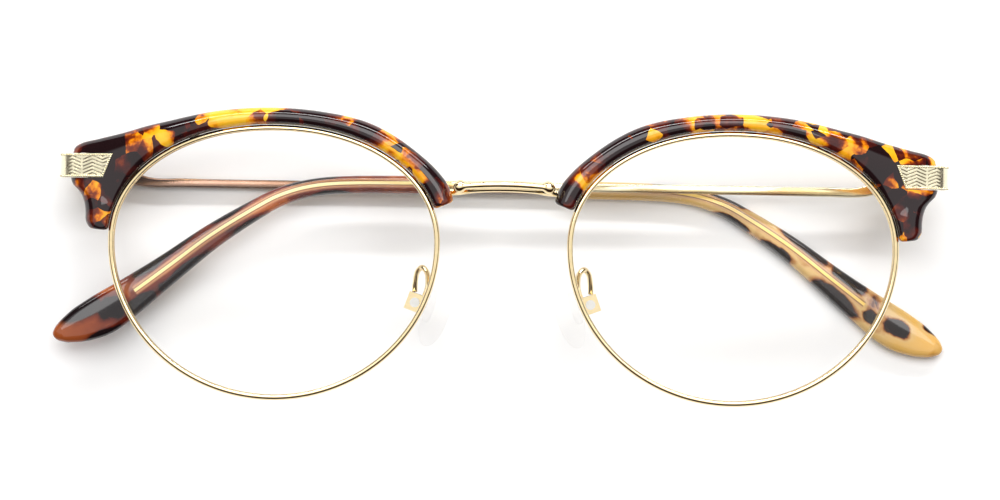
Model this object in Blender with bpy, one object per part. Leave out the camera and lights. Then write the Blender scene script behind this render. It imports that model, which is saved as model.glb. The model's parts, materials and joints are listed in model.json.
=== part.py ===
"""Half rim eyeglasses with folded temples, one object per physical piece.

Sizes are millimetres in the front frame: +X towards the wearer's left, +Y up the
front, +Z out of the front, origin midway between the lens boxes. The folded glasses
lie on the right temple, so the front frame leans a little in the world.
"""

import math

import bmesh
import bpy
from mathutils import Matrix, Vector

MM = 0.001
SHARP_ANGLE = math.radians(35.0)

# Lens outline: two half superellipses that meet on the widest line.
LENS_CENTRE_X = 34.5
LENS_HALF_WIDTH = 24.5
WIDE_LINE_Y = 3.0
UPPER_HEIGHT = 17.0
LOWER_HEIGHT = 23.1
UPPER_POWER = 2.1
LOWER_POWER = 2.0
BASE_CURVE_RADIUS = 110.0
FACE_WRAP = math.tan(math.radians(5.0))

# Eyewire channel and lens edge, as (offset from the outline, depth from the front surface).
EYEWIRE_SECTION = (
    (-0.30, 0.05), (0.10, 0.25), (0.50, 0.05), (0.50, -1.85), (0.10, -2.05),
    (-0.30, -1.85), (-0.30, -1.35), (0.15, -0.90), (-0.30, -0.45),
)
LENS_EDGE = ((-0.36, -0.15), (-0.36, -0.51), (0.03, -0.90), (-0.36, -1.29), (-0.36, -1.65))
LENS_RINGS = (0.45, 0.8)
OUTLINE_STEPS = 64
SPLIT_TURN = 16.5
SPLIT_HALF_GAP = 0.4

# Brow width measured out from the lens outline, at turns in degrees round the rim.
BROW_WIDTHS = (
    (163, 3.75), (157, 3.98), (152, 3.85), (140, 3.5), (120, 3.5), (105, 3.15), (90, 3.1),
    (75, 3.3), (57, 4.1), (49.5, 4.95), (40, 6.45), (33, 8.4), (28.5, 10.1), (26.4, 10.5),
    (25, 10.2), (18.3, 8.5), (17, 7.85), (15.75, 6.4), (13.4, 5.3), (10.4, 4.65), (6.4, 4.2),
    (4.9, 3.8),
)
BROW_STEP = 5.0
BROW_INNER = 0.58
BROW_EDGE_RISE = 0.1
BROW_CROWN = 1.5
BROW_BACK = -1.4
BROW_ACROSS = (0.0, 0.06, 0.2, 0.4, 0.6, 0.8, 0.94, 1.0)

# Bridge bar and the brace behind it.
BRIDGE_HALF_LENGTH = 7.35
BRIDGE_Y = 11.5
BRIDGE_ARCH = 0.5
BRIDGE_Z = 0.9
BRIDGE_HALF_DEPTH = 0.8
BRIDGE_MID_HALF_HEIGHT = 0.6
BRIDGE_END_HALF_HEIGHT = 0.92
BRIDGE_SWELL_POWER = 4
BRIDGE_STATIONS = 16
BRIDGE_SIDES = 12
BRACE_PATH = (
    (-11.6, 10.9, -3.3), (-9.5, 10.8, -3.6), (-7.5, 10.9, -3.45), (-6.3, 10.98, -2.5),
    (-4.8, 11.2, -1.1), (-2.5, 11.35, -0.6), (0.0, 11.4, -0.5),
    (2.5, 11.35, -0.6), (4.8, 11.2, -1.1), (6.3, 10.98, -2.5),
    (7.5, 10.9, -3.45), (9.5, 10.8, -3.6), (11.6, 10.9, -3.3),
)
BRACE_RADIUS = 0.5

# Endpiece: two nested strips that run outwards, then turn back beside the head.
STRIP_START_HIGH = 58.9
STRIP_START_LOW = 60.4
STRIP_LEVEL_X = 58.0
STRIP_LEVEL_Z = -4.05
STRIP_SLOPE = math.radians(18.3)
STRIP_SIDE_X = 67.35
STRIP_CORNER_RADIUS = 3.0
STRIP_END_Z = -13.85
STRIP_LOW_Y = 12.4
STRIP_HIGH_Y = 15.95
TRIM_THICKNESS = 0.5
PLATE_TOP = 0.55
PLATE_BOTTOM = 1.65
CORNER_STEPS = 7
SLOT_DEPTH = 1.75
SLOT_MARGIN = 0.1
SLOT_WEB_END_X = 63.0
SLOT_OPEN_X = 70.0
SLOT_OPEN_Z = (-15.0, 5.0)
FOOT_BAR = ((59.7, 12.5, -10.4), (66.0, 15.8, -9.35))
FOOT_LEG = ((59.7, 8.75, -10.4), (61.7, 13.0, -9.35))

# Rim lock: two blocks drawn together by a screw.
LOWER_LOCK = ((59.75, 6.8, -9.3), (61.6, 8.5, -7.65))
UPPER_LOCK = ((59.75, 8.7, -9.3), (61.6, 10.4, -7.65))
LOCK_SCREW_X = 60.68
LOCK_SCREW_Z = -8.4
LOCK_BORE = ((0.5, 6.0), (0.5, 9.9))
LOCK_SCREW = ((0.44, 9.8), (0.44, 6.75), (0.75, 6.75), (0.75, 6.3))

# Brow tabs, at turns round the rim.
TAB_TURNS = {"inner": 138.0, "outer": 62.0}
TAB_START = 0.55
TAB_REACH = 2.6
TAB_HALF_WIDTH = 0.8
TAB_HIGH = -1.55
TAB_LOW = -2.0
BROW_SCREW_OFFSET = 1.75
BROW_SCREW = ((0.45, 0.1), (0.45, -2.2), (0.85, -2.2), (0.85, -2.65))
BROW_BORE = ((0.5, 0.2), (0.5, -3.0))

# Hinge, in the frame of its own axis: X outwards, Y up, Z forwards.
HINGE_X = 63.45
HINGE_Y = 14.1
HINGE_Z = -14.0
KNUCKLE_RADIUS = 1.25
KNUCKLE_BORE = 0.68
KNUCKLE_SIDES = 20
HINGE_BORE_SPAN = (-3.0, 3.0)
MID_KNUCKLE = (-0.55, 0.55)
LOW_KNUCKLE = (-1.65, -0.65)
HIGH_KNUCKLE = (0.65, 1.65)
FRONT_LEAF_PLATE = ((1.36, -1.65, 1.3), (2.0, 1.65, 3.1))
FRONT_LEAF_ARM = ((0.95, -0.55, 0.0), (1.9, 0.55, 1.6))
TEMPLE_LEAF_PLATE = ((-4.6, -1.6, -1.88), (-1.35, 1.4, -1.15))
TEMPLE_LEAF_ARM_X = (-1.6, -0.2)
TEMPLE_LEAF_ARM_Z = (-1.7, -0.9)
HINGE_SCREW = ((1.15, 2.3), (1.15, 1.72), (0.6, 1.72), (0.6, -1.7))

# Temple, in the same frame: (distance from the hinge, height of centre, height, inner, outer).
SHAFT_SECTIONS = (
    (0.15, 0.0, 3.3, 1.95, 3.9), (3.5, -0.1, 3.2, 1.95, 3.9), (8.0, -1.75, 1.6, 2.05, 3.75),
    (14.0, -1.88, 1.4, 2.15, 3.6), (30.0, -1.88, 1.35, 2.25, 3.45), (72.6, -1.9, 1.35, 2.3, 3.4),
)
SHAFT_CORNER = 0.22
CORE_START = 72.8
CORE_END = 119.5
CORE_HALF_SIZE = 0.42
CORE_ROOT = 71.5
CORE_BORE_HALF_SIZE = 0.5
CORE_BORE_END = 122.5
CORE_BORE_ROOT = 71.0
# Tip, as (distance from the hinge, height of centre, height).
TIP_SECTIONS = (
    (73.0, -1.9, 2.75), (86.0, -2.05, 2.7), (92.5, -2.6, 2.7), (97.4, -4.0, 2.85),
    (101.5, -6.2, 3.1), (108.0, -10.4, 3.75), (114.5, -15.4, 4.6), (119.5, -19.2, 5.6),
    (124.0, -22.4, 6.4), (127.5, -24.2, 5.6), (130.2, -25.3, 3.7), (131.6, -25.8, 1.2),
)
TIP_INNER = 1.3
TIP_OUTER = 3.9
TIP_END_INNER = 1.9
TIP_END_POWER = 6
TIP_ROUNDNESS = 2.6
TIP_SIDES = 14
TIP_STEPS = 4

# Nose pads.
PAD_ARM_PATH = (
    (11.6, -4.6, -2.75), (11.25, -3.2, -4.3), (11.4, -1.4, -5.8), (12.2, -0.5, -6.7),
    (13.0, -1.3, -7.6), (13.3, -2.9, -8.6), (13.35, -4.15, -9.0),
)
PAD_ARM_RADIUS = 0.42
PAD_SCREW_AT = (13.3, -5.8, -9.0)
PAD_BOX_TILT = math.radians(20.0)
PAD_BOX_LENGTH = 2.7
PAD_BOX_BACK = 1.3
PAD_BOX_FRONT = -0.9
PAD_BOX_WALL = 0.45
PAD_BOX_HALF_DEPTH = 1.4
PAD_LUG_RADIUS = 0.72
PAD_LUG_HALF_DEPTH = 0.85
PAD_NECK_HALF_SIZE = 0.45
PAD_NECK_SPAN = (0.2, 2.15)
PAD_BOX_OPEN = 5.0
PAD_SCREW = ((0.75, 1.9), (0.75, 1.45), (0.4, 1.45), (0.4, -1.4))
PAD_SCREW_BORE = ((0.46, -3.0), (0.46, 3.0))
PAD_LENGTH_AXIS = Vector((0.32, -0.93, -0.18))
PAD_FACE_AXIS = Vector((-0.88, -0.25, -0.40))
PAD_HALF_LENGTH = 6.2
PAD_HALF_WIDTH = 3.4
PAD_TAPER = 0.18
PAD_SIDES = 20
PAD_LEVELS = ((0.0, 0.78), (0.35, 0.95), (0.9, 1.0), (1.6, 0.93), (2.2, 0.7), (2.6, 0.3))
PAD_BACK_REACH = 2.75
PAD_PLATE_LEVELS = ((-0.6, 1.0), (-0.05, 1.0))
PAD_PLATE_HALF_LENGTH = 2.6
PAD_PLATE_HALF_WIDTH = 1.5

# How the folded glasses lie.
PANTOSCOPIC_ANGLE = math.radians(5.0)
LEAN_ANGLE = math.radians(1.6)
TABLE_TO_AXIS = 3.9
REST_X = -63.43
REST_Y = 13.77

# name: colour, roughness, metallic
MATERIALS = {
    "gold": ((0.83, 0.62, 0.33, 1.0), 0.18, 1.0),
    "steel": ((0.72, 0.70, 0.66, 1.0), 0.25, 1.0),
    "tortoise": ((0.12, 0.035, 0.012, 1.0), 0.15, 0.0),
    "lens": ((0.93, 0.96, 0.96, 1.0), 0.03, 0.0),
    "silicone": ((0.92, 0.92, 0.90, 1.0), 0.3, 0.0),
    "pad_core": ((0.90, 0.88, 0.84, 1.0), 0.35, 0.0),
}


def clear_scene():
    for obj in list(bpy.data.objects):
        bpy.data.objects.remove(obj, do_unlink=True)


def make_materials():
    made = {}
    for name, (colour, roughness, metallic) in MATERIALS.items():
        material = bpy.data.materials.new(name)
        material.use_nodes = True
        shader = material.node_tree.nodes["Principled BSDF"]
        shader.inputs["Base Color"].default_value = colour
        shader.inputs["Roughness"].default_value = roughness
        shader.inputs["Metallic"].default_value = metallic
        made[name] = material
    return made


def empty(name, matrix, parent=None):
    holder = bpy.data.objects.new(name, None)
    bpy.context.scene.collection.objects.link(holder)
    holder.parent = parent
    holder.matrix_local = matrix
    return holder


def translation(x, y, z):
    return Matrix.Translation(Vector((x, y, z)) * MM)


def mesh_object(name, shape, place):
    """Object from (points in mm, faces), with its mesh mirrored for the wearer's right."""
    points, faces = shape
    side = place["side"]
    mesh = bpy.data.meshes.new(name)
    mesh.from_pydata([(side * x * MM, y * MM, z * MM) for x, y, z in points], [], faces)
    tidy = bmesh.new()
    tidy.from_mesh(mesh)
    bmesh.ops.recalc_face_normals(tidy, faces=tidy.faces)
    tidy.to_mesh(mesh)
    tidy.free()
    obj = bpy.data.objects.new(name, mesh)
    bpy.context.scene.collection.objects.link(obj)
    obj.parent = place["parent"]
    return obj


def piece(name, shape, place, material):
    obj = mesh_object(name, shape, place)
    obj.data.materials.append(material)
    obj.data.shade_smooth()
    obj.data.set_sharp_from_angle(angle=SHARP_ANGLE)
    return obj


def combine(obj, shape, place, operation):
    """Joins or cuts obj with a hidden helper of the given shape."""
    helper = mesh_object(f"{obj.name}_helper", shape, place)
    helper.hide_render = True
    helper.display_type = "WIRE"
    modifier = obj.modifiers.new("combine", "BOOLEAN")
    modifier.operation = operation
    modifier.solver = "EXACT"
    modifier.object = helper


def loft(rings, closed=False):
    """Skin through rings of equal length, with end caps unless the rings close on themselves."""
    size = len(rings[0])
    points = [point for ring in rings for point in ring]
    faces = []
    for i in range(len(rings) if closed else len(rings) - 1):
        a = i * size
        b = (i + 1) % len(rings) * size
        for j in range(size):
            k = (j + 1) % size
            faces.append((a + j, a + k, b + k, b + j))
    if not closed:
        faces.append(tuple(range(size)))
        faces.append(tuple(range(len(points) - size, len(points))))
    return points, faces


def box(corners):
    (x0, y0, z0), (x1, y1, z1) = corners
    return loft([[(x, y0, z0), (x, y1, z0), (x, y1, z1), (x, y0, z1)] for x in (x0, x1)])


def turned(profile, centre, axis, sides=16):
    """Solid of revolution from (radius, height) pairs along an axis through centre."""
    axis = Vector(axis).normalized()
    across = axis.orthogonal().normalized()
    other = axis.cross(across)
    rings = []
    for radius, height in profile:
        ring = []
        for i in range(sides):
            turn = 2 * math.pi * i / sides
            out = across * math.cos(turn) + other * math.sin(turn)
            ring.append(Vector(centre) + axis * height + out * radius)
        rings.append(ring)
    return loft(rings)


def value_at(knots, at):
    """Value between (position, value) knots, on a straight line from knot to knot."""
    rising = sorted(knots)
    for (x0, v0), (x1, v1) in zip(rising, rising[1:]):
        if at <= x1:
            return v0 + (v1 - v0) * (at - x0) / (x1 - x0)
    return rising[-1][1]


def curve_points(path, steps):
    """Points along a Catmull-Rom curve through the path."""
    path = [Vector(point) for point in path]
    padded = [2 * path[0] - path[1], *path, 2 * path[-1] - path[-2]]
    points = []
    for a, b, c, d in zip(padded, padded[1:], padded[2:], padded[3:]):
        for i in range(steps):
            t = i / steps
            points.append(
                0.5 * (2 * b + (c - a) * t + (2 * a - 5 * b + 4 * c - d) * t * t
                       + (3 * b - a - 3 * c + d) * t ** 3)
            )
    points.append(path[-1])
    return points


def rod(path, radius, sides=10, steps=3):
    """Round wire along a smooth path."""
    points = curve_points(path, steps)
    across = Vector((0, 0, 1))
    rings = []
    for i, point in enumerate(points):
        along = (points[min(i + 1, len(points) - 1)] - points[max(i - 1, 0)]).normalized()
        across = (across - along * across.dot(along)).normalized()
        other = along.cross(across)
        turns = [2 * math.pi * j / sides for j in range(sides)]
        rings.append([point + (across * math.cos(t) + other * math.sin(t)) * radius for t in turns])
    return loft(rings)


def front_depth(x, y):
    """Depth of the curved front surface."""
    out = abs(x) - LENS_CENTRE_X
    return -(out * out + y * y) / (2 * BASE_CURVE_RADIUS) - FACE_WRAP * out


def rim_point(degrees, offset, depth):
    """Point beside the lens outline: offset outwards, depth from the front surface."""
    cosine = math.cos(math.radians(degrees))
    sine = math.sin(math.radians(degrees))
    height = UPPER_HEIGHT if sine >= 0 else LOWER_HEIGHT
    power = UPPER_POWER if sine >= 0 else LOWER_POWER
    across = math.copysign(abs(cosine) ** (2 / power), cosine)
    up = math.copysign(abs(sine) ** (2 / power), sine)
    normal = Vector((
        math.copysign(abs(across) ** (power - 1) / LENS_HALF_WIDTH, across),
        math.copysign(abs(up) ** (power - 1) / height, up),
    )).normalized()
    x = LENS_CENTRE_X + LENS_HALF_WIDTH * across + offset * normal.x
    y = WIDE_LINE_Y + height * up + offset * normal.y
    return x, y, front_depth(x, y) + depth


def rim_turns():
    """Turns round the rim, starting and ending at the split."""
    first = SPLIT_TURN + SPLIT_HALF_GAP
    sweep = 360.0 - 2 * SPLIT_HALF_GAP
    return [first + sweep * i / OUTLINE_STEPS for i in range(OUTLINE_STEPS + 1)]


def eyewire_shape():
    return loft([
        [rim_point(turn, offset, depth) for offset, depth in EYEWIRE_SECTION]
        for turn in rim_turns()
    ])


def lens_shape():
    """Lens from the middle of its front, over the bevelled edge, to the middle of its back."""
    turns = rim_turns()
    front = LENS_EDGE[0][1]
    back = LENS_EDGE[-1][1]
    centre = Vector((LENS_CENTRE_X, 0.0))

    def inner_ring(share, depth):
        ring = []
        for turn in turns:
            x, y, _ = rim_point(turn, LENS_EDGE[0][0], 0.0)
            at = centre + (Vector((x, y)) - centre) * share
            ring.append((at.x, at.y, front_depth(at.x, at.y) + depth))
        return ring

    rings = [inner_ring(share, front) for share in LENS_RINGS]
    rings += [[rim_point(turn, offset, depth) for turn in turns] for offset, depth in LENS_EDGE]
    rings += [inner_ring(share, back) for share in reversed(LENS_RINGS)]
    points, faces = loft(rings)
    size = len(turns)
    faces = faces[:-2]
    for start, depth in ((0, front), (len(points) - size, back)):
        points.append((centre.x, centre.y, front_depth(centre.x, centre.y) + depth))
        middle = len(points) - 1
        faces += [(start + i, start + (i + 1) % size, middle) for i in range(size)]
    return points, faces


def brow_turns():
    """Turns where the brow has a section: at every width knot and between distant knots."""
    turns = []
    for (a, _), (b, _) in zip(BROW_WIDTHS, BROW_WIDTHS[1:]):
        parts = math.ceil((a - b) / BROW_STEP)
        turns += [a + (b - a) * i / parts for i in range(parts)]
    return [*turns, BROW_WIDTHS[-1][0]]


def brow_shape():
    rings = []
    for turn in brow_turns():
        width = value_at(BROW_WIDTHS, turn)
        front = []
        for share in BROW_ACROSS:
            rise = BROW_CROWN * math.sqrt(1 - (2 * share - 1) ** 2)
            offset = BROW_INNER + (width - BROW_INNER) * share
            front.append(rim_point(turn, offset, BROW_EDGE_RISE + rise))
        back = [rim_point(turn, offset, BROW_BACK) for offset in (width, BROW_INNER)]
        rings.append(front + back)
    return loft(rings)


def slot_shape():
    """Room in the brow for the endpiece strips, open to the front and the side."""
    rings = []
    for y, start in (
        (STRIP_LOW_Y - SLOT_MARGIN, STRIP_START_LOW - SLOT_MARGIN),
        (STRIP_HIGH_Y + SLOT_MARGIN, STRIP_START_HIGH - SLOT_MARGIN),
    ):
        floor = [(x, strip_level(x) - SLOT_DEPTH) for x in (start, SLOT_WEB_END_X)]
        low, high = SLOT_OPEN_Z
        outline = [*floor, (SLOT_WEB_END_X, low), (SLOT_OPEN_X, low), (SLOT_OPEN_X, high), (start, high)]
        rings.append([(x, y, z) for x, z in outline])
    return loft(rings)


def strip_level(x):
    return STRIP_LEVEL_Z - (x - STRIP_LEVEL_X) * math.tan(STRIP_SLOPE)


def strip_line(start, inset):
    """Line of a strip surface in the XZ plane, inset from the outermost surface."""
    side = STRIP_SIDE_X - inset
    radius = STRIP_CORNER_RADIUS - inset
    drop = inset / math.cos(STRIP_SLOPE)
    centre_x = side - radius
    centre_z = strip_level(centre_x) - drop - radius / math.cos(STRIP_SLOPE)
    line = [(start, strip_level(start) - drop)]
    sweep = math.pi / 2 - STRIP_SLOPE
    for i in range(CORNER_STEPS + 1):
        turn = sweep * (1 - i / CORNER_STEPS)
        line.append((centre_x + radius * math.cos(turn), centre_z + radius * math.sin(turn)))
    return [*line, (side, STRIP_END_Z)]


def strip_shape(top, bottom):
    rings = []
    for y, start in ((STRIP_LOW_Y, STRIP_START_LOW), (STRIP_HIGH_Y, STRIP_START_HIGH)):
        outline = strip_line(start, top) + strip_line(start, bottom)[::-1]
        rings.append([(x, y, z) for x, z in outline])
    return loft(rings)


def lens_frames(place, material, name):
    piece(f"{name}_eyewire", eyewire_shape(), place, material["gold"])
    piece(f"{name}_lens", lens_shape(), place, material["lens"])


def tab_shape(turn):
    inner = Vector(rim_point(turn, TAB_START, 0.0))
    outer = Vector(rim_point(turn, TAB_REACH, 0.0))
    along = (outer - inner).normalized()
    across = Vector((-along.y, along.x, 0.0)).normalized() * TAB_HALF_WIDTH
    rings = []
    for base in (inner, outer):
        rings.append([
            base + across + Vector((0, 0, TAB_LOW)), base - across + Vector((0, 0, TAB_LOW)),
            base - across + Vector((0, 0, TAB_HIGH)), base + across + Vector((0, 0, TAB_HIGH)),
        ])
    return loft(rings)


def brow(place, material, name):
    body = piece(f"{name}_brow", brow_shape(), place, material["tortoise"])
    combine(body, slot_shape(), place, "DIFFERENCE")
    for where, turn in TAB_TURNS.items():
        at = rim_point(turn, BROW_SCREW_OFFSET, 0.0)
        bore = turned(BROW_BORE, at, (0, 0, 1))
        combine(body, bore, place, "DIFFERENCE")
        tab = piece(f"{name}_{where}_brow_tab", tab_shape(turn), place, material["gold"])
        combine(tab, bore, place, "DIFFERENCE")
        screw = turned(BROW_SCREW, at, (0, 0, 1))
        piece(f"{name}_{where}_brow_screw", screw, place, material["steel"])


def endpiece(place, material, name):
    plate = piece(f"{name}_endpiece", strip_shape(PLATE_TOP, PLATE_BOTTOM), place, material["gold"])
    combine(plate, box(FOOT_BAR), place, "UNION")
    combine(plate, box(FOOT_LEG), place, "UNION")
    piece(f"{name}_endpiece_trim", strip_shape(0.0, TRIM_THICKNESS), place, material["gold"])


def rim_lock(place, material, name):
    centre = (LOCK_SCREW_X, 0.0, LOCK_SCREW_Z)
    bore = turned(LOCK_BORE, centre, (0, 1, 0))
    for part_name, corners in (("lower", LOWER_LOCK), ("upper", UPPER_LOCK)):
        block = piece(f"{name}_{part_name}_rim_lock", box(corners), place, material["gold"])
        combine(block, bore, place, "DIFFERENCE")
    screw = turned(LOCK_SCREW, centre, (0, 1, 0))
    piece(f"{name}_rim_lock_screw", screw, place, material["steel"])


def knuckle(span, radius):
    low, high = span
    return turned(((radius, low), (radius, high)), (0, 0, 0), (0, 1, 0), KNUCKLE_SIDES)


def hinge_bore():
    return knuckle(HINGE_BORE_SPAN, KNUCKLE_BORE)


def front_hinge(place, material, name):
    leaf = piece(f"{name}_front_hinge_leaf", box(FRONT_LEAF_PLATE), place, material["gold"])
    combine(leaf, box(FRONT_LEAF_ARM), place, "UNION")
    combine(leaf, knuckle(MID_KNUCKLE, KNUCKLE_RADIUS), place, "UNION")
    combine(leaf, hinge_bore(), place, "DIFFERENCE")
    screw = turned(HINGE_SCREW, (0, 0, 0), (0, 1, 0))
    piece(f"{name}_hinge_screw", screw, place, material["steel"])


def temple_leaf(place, material, name):
    leaf = piece(f"{name}_temple_hinge_leaf", box(TEMPLE_LEAF_PLATE), place, material["gold"])
    (x0, x1), (z0, z1) = TEMPLE_LEAF_ARM_X, TEMPLE_LEAF_ARM_Z
    for low, high in (LOW_KNUCKLE, HIGH_KNUCKLE):
        arm = ((x0, low, z0), (x1, high, z1))
        combine(leaf, box(arm), place, "UNION")
        combine(leaf, knuckle((low, high), KNUCKLE_RADIUS), place, "UNION")
    combine(leaf, hinge_bore(), place, "DIFFERENCE")


def cut_corner_ring(point, up, out, half_height, half_depth, corner):
    """Rectangle with cut corners, centred on point."""
    ring = []
    for a, b in ((1, 1), (1, -1), (-1, -1), (-1, 1)):
        beside = point + up * a * half_height + out * b * (half_depth - corner)
        level = point + up * a * (half_height - corner) + out * b * half_depth
        ring += [level, beside] if a == b else [beside, level]
    return ring


def tip_stations():
    """(centre, height, upward direction) along the tip; the curve carries the height in Z."""
    path = curve_points([(-reach, rise, height) for reach, rise, height in TIP_SECTIONS], TIP_STEPS)
    stations = []
    for i, point in enumerate(path):
        step = path[min(i + 1, len(path) - 1)] - path[max(i - 1, 0)]
        up = Vector((step.y, -step.x, 0.0)).normalized()
        stations.append((Vector((point.x, point.y, 0.0)), point.z, up))
    return stations


def core_shape(half_size, root, end):
    """Square wire that starts straight at the root and follows the tip to its end."""
    middle = Vector((0, 0, -(TIP_INNER + TIP_OUTER) / 2))
    out = Vector((0, 0, half_size))
    rings = []
    for point, _, up in tip_stations():
        if -end <= point.x <= -CORE_START:
            high = point + middle + up * half_size
            low = point + middle - up * half_size
            rings.append([high + out, low + out, low - out, high - out])
    start = [Vector((-root, corner.y, corner.z)) for corner in rings[0]]
    return loft([start, *rings])


def shaft_shape():
    rings = []
    up = Vector((0, 1, 0))
    out = Vector((0, 0, 1))
    for reach, rise, height, inner, outer in SHAFT_SECTIONS:
        centre = Vector((-reach, rise, -(inner + outer) / 2))
        half_depth = (outer - inner) / 2
        rings.append(cut_corner_ring(centre, up, out, height / 2, half_depth, SHAFT_CORNER))
    return loft(rings)


def tip_shape():
    stations = tip_stations()
    rings = []
    for i, (point, height, up) in enumerate(stations):
        share = i / (len(stations) - 1)
        inner = TIP_INNER + (TIP_END_INNER - TIP_INNER) * share ** TIP_END_POWER
        middle = point + Vector((0, 0, -(inner + TIP_OUTER) / 2))
        half_depth = (TIP_OUTER - inner) / 2
        ring = []
        for j in range(TIP_SIDES):
            turn = 2 * math.pi * (j + 0.5) / TIP_SIDES
            c = math.copysign(abs(math.cos(turn)) ** (2 / TIP_ROUNDNESS), math.cos(turn))
            s = math.copysign(abs(math.sin(turn)) ** (2 / TIP_ROUNDNESS), math.sin(turn))
            ring.append(middle + up * c * height / 2 + Vector((0, 0, half_depth * s)))
        rings.append(ring)
    return loft(rings)


def temple(place, material, name):
    shaft = piece(f"{name}_temple_shaft", shaft_shape(), place, material["gold"])
    combine(shaft, core_shape(CORE_HALF_SIZE, CORE_ROOT, CORE_END), place, "UNION")
    tip = piece(f"{name}_temple_tip", tip_shape(), place, material["tortoise"])
    bore = core_shape(CORE_BORE_HALF_SIZE, CORE_BORE_ROOT, CORE_BORE_END)
    combine(tip, bore, place, "DIFFERENCE")
    temple_leaf(place, material, name)


def pad_axes():
    along = PAD_LENGTH_AXIS.normalized()
    face = (PAD_FACE_AXIS - along * PAD_FACE_AXIS.dot(along)).normalized()
    return along, face, face.cross(along)


def pad_rings(levels, half_length, half_width):
    """Oval rings stacked on the pad's back plane, as (distance, share of size)."""
    along, face, across = pad_axes()
    rings = []
    for distance, share in levels:
        ring = []
        for i in range(PAD_SIDES):
            turn = 2 * math.pi * i / PAD_SIDES
            width = half_width * (1 + PAD_TAPER * math.cos(turn)) * math.sin(turn)
            beside = along * half_length * math.cos(turn) + across * width
            ring.append(face * (PAD_BACK_REACH + distance) + beside * share)
        rings.append(ring)
    return loft(rings)


def pad_local(x, y, z):
    """Point of the pad box frame, whose open side faces -X, towards the nose."""
    turn = Matrix.Rotation(PAD_BOX_TILT, 3, "Z")
    return turn @ Vector((x, y, z))


def pad_block(corners):
    points, faces = box(corners)
    return [pad_local(*point) for point in points], faces


def pad_box(place, material, name):
    half = PAD_BOX_LENGTH / 2
    outer = ((PAD_BOX_FRONT, -half, -PAD_BOX_HALF_DEPTH), (PAD_BOX_BACK, half, PAD_BOX_HALF_DEPTH))
    body = piece(f"{name}_pad_box", pad_block(outer), place, material["gold"])
    inner_depth = PAD_BOX_HALF_DEPTH - PAD_BOX_WALL
    inner = (
        (-PAD_BOX_OPEN, -PAD_BOX_OPEN, -inner_depth),
        (PAD_BOX_BACK - PAD_BOX_WALL, PAD_BOX_OPEN, inner_depth),
    )
    combine(body, pad_block(inner), place, "DIFFERENCE")
    bore = turned(PAD_SCREW_BORE, (0, 0, 0), (0, 0, 1))
    combine(body, bore, place, "DIFFERENCE")
    screw = turned(PAD_SCREW, (0, 0, 0), (0, 0, 1))
    piece(f"{name}_pad_screw", screw, place, material["steel"])


def nose_pad(place, material, name):
    _, face, _ = pad_axes()
    lug = turned(
        ((PAD_LUG_RADIUS, -PAD_LUG_HALF_DEPTH), (PAD_LUG_RADIUS, PAD_LUG_HALF_DEPTH)),
        (0, 0, 0), (0, 0, 1),
    )
    mount = piece(f"{name}_pad_mount", lug, place, material["pad_core"])
    neck = []
    up = Vector((0, PAD_NECK_HALF_SIZE, 0))
    deep = Vector((0, 0, PAD_NECK_HALF_SIZE))
    for distance in PAD_NECK_SPAN:
        centre = face * distance
        neck.append([centre + up + deep, centre - up + deep, centre - up - deep, centre + up - deep])
    combine(mount, loft(neck), place, "UNION")
    plate = pad_rings(PAD_PLATE_LEVELS, PAD_PLATE_HALF_LENGTH, PAD_PLATE_HALF_WIDTH)
    combine(mount, plate, place, "UNION")
    bore = turned(PAD_SCREW_BORE, (0, 0, 0), (0, 0, 1))
    combine(mount, bore, place, "DIFFERENCE")
    pad = pad_rings(PAD_LEVELS, PAD_HALF_LENGTH, PAD_HALF_WIDTH)
    piece(f"{name}_nose_pad", pad, place, material["silicone"])


def bridge_shape():
    """Raised bar, waisted in the middle."""
    rings = []
    for i in range(BRIDGE_STATIONS + 1):
        share = 2 * i / BRIDGE_STATIONS - 1
        swell = (BRIDGE_END_HALF_HEIGHT - BRIDGE_MID_HALF_HEIGHT) * share ** BRIDGE_SWELL_POWER
        half = BRIDGE_MID_HALF_HEIGHT + swell
        y = BRIDGE_Y + BRIDGE_ARCH * (1 - share * share)
        ring = []
        for j in range(BRIDGE_SIDES):
            turn = 2 * math.pi * j / BRIDGE_SIDES
            ring.append((
                share * BRIDGE_HALF_LENGTH,
                y + half * math.cos(turn),
                BRIDGE_Z + BRIDGE_HALF_DEPTH * math.sin(turn),
            ))
        rings.append(ring)
    return loft(rings)


def main():
    clear_scene()
    material = make_materials()
    turn = Matrix.Rotation(-LEAN_ANGLE, 4, "Y") @ Matrix.Rotation(PANTOSCOPIC_ANGLE, 4, "X")
    rest = translation(REST_X, REST_Y, TABLE_TO_AXIS) @ turn
    to_rest = rest @ translation(HINGE_X, -HINGE_Y, -HINGE_Z)
    front = empty("front_frame", to_rest)
    middle = {"side": 1, "parent": front}
    piece("bridge", bridge_shape(), middle, material["gold"])
    piece("bridge_brace", rod(BRACE_PATH, BRACE_RADIUS), middle, material["gold"])
    for name, side in (("left", 1), ("right", -1)):
        place = {"side": side, "parent": front}
        lens_frames(place, material, name)
        brow(place, material, name)
        endpiece(place, material, name)
        rim_lock(place, material, name)
        piece(f"{name}_pad_arm", rod(PAD_ARM_PATH, PAD_ARM_RADIUS, 8), place, material["gold"])
        x, y, z = PAD_SCREW_AT
        pad_place = {"side": side, "parent": empty(f"{name}_pad_pivot", translation(side * x, y, z), front)}
        pad_box(pad_place, material, name)
        nose_pad(pad_place, material, name)
        at = to_rest @ (Vector((side * HINGE_X, HINGE_Y, HINGE_Z)) * MM)
        hinge_place = {"side": side, "parent": empty(f"{name}_temple_pivot", Matrix.Translation(at))}
        front_hinge(hinge_place, material, name)
        temple(hinge_place, material, name)


main()
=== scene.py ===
import json
import math

import bmesh
import bpy
from mathutils import Matrix, Vector


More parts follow.
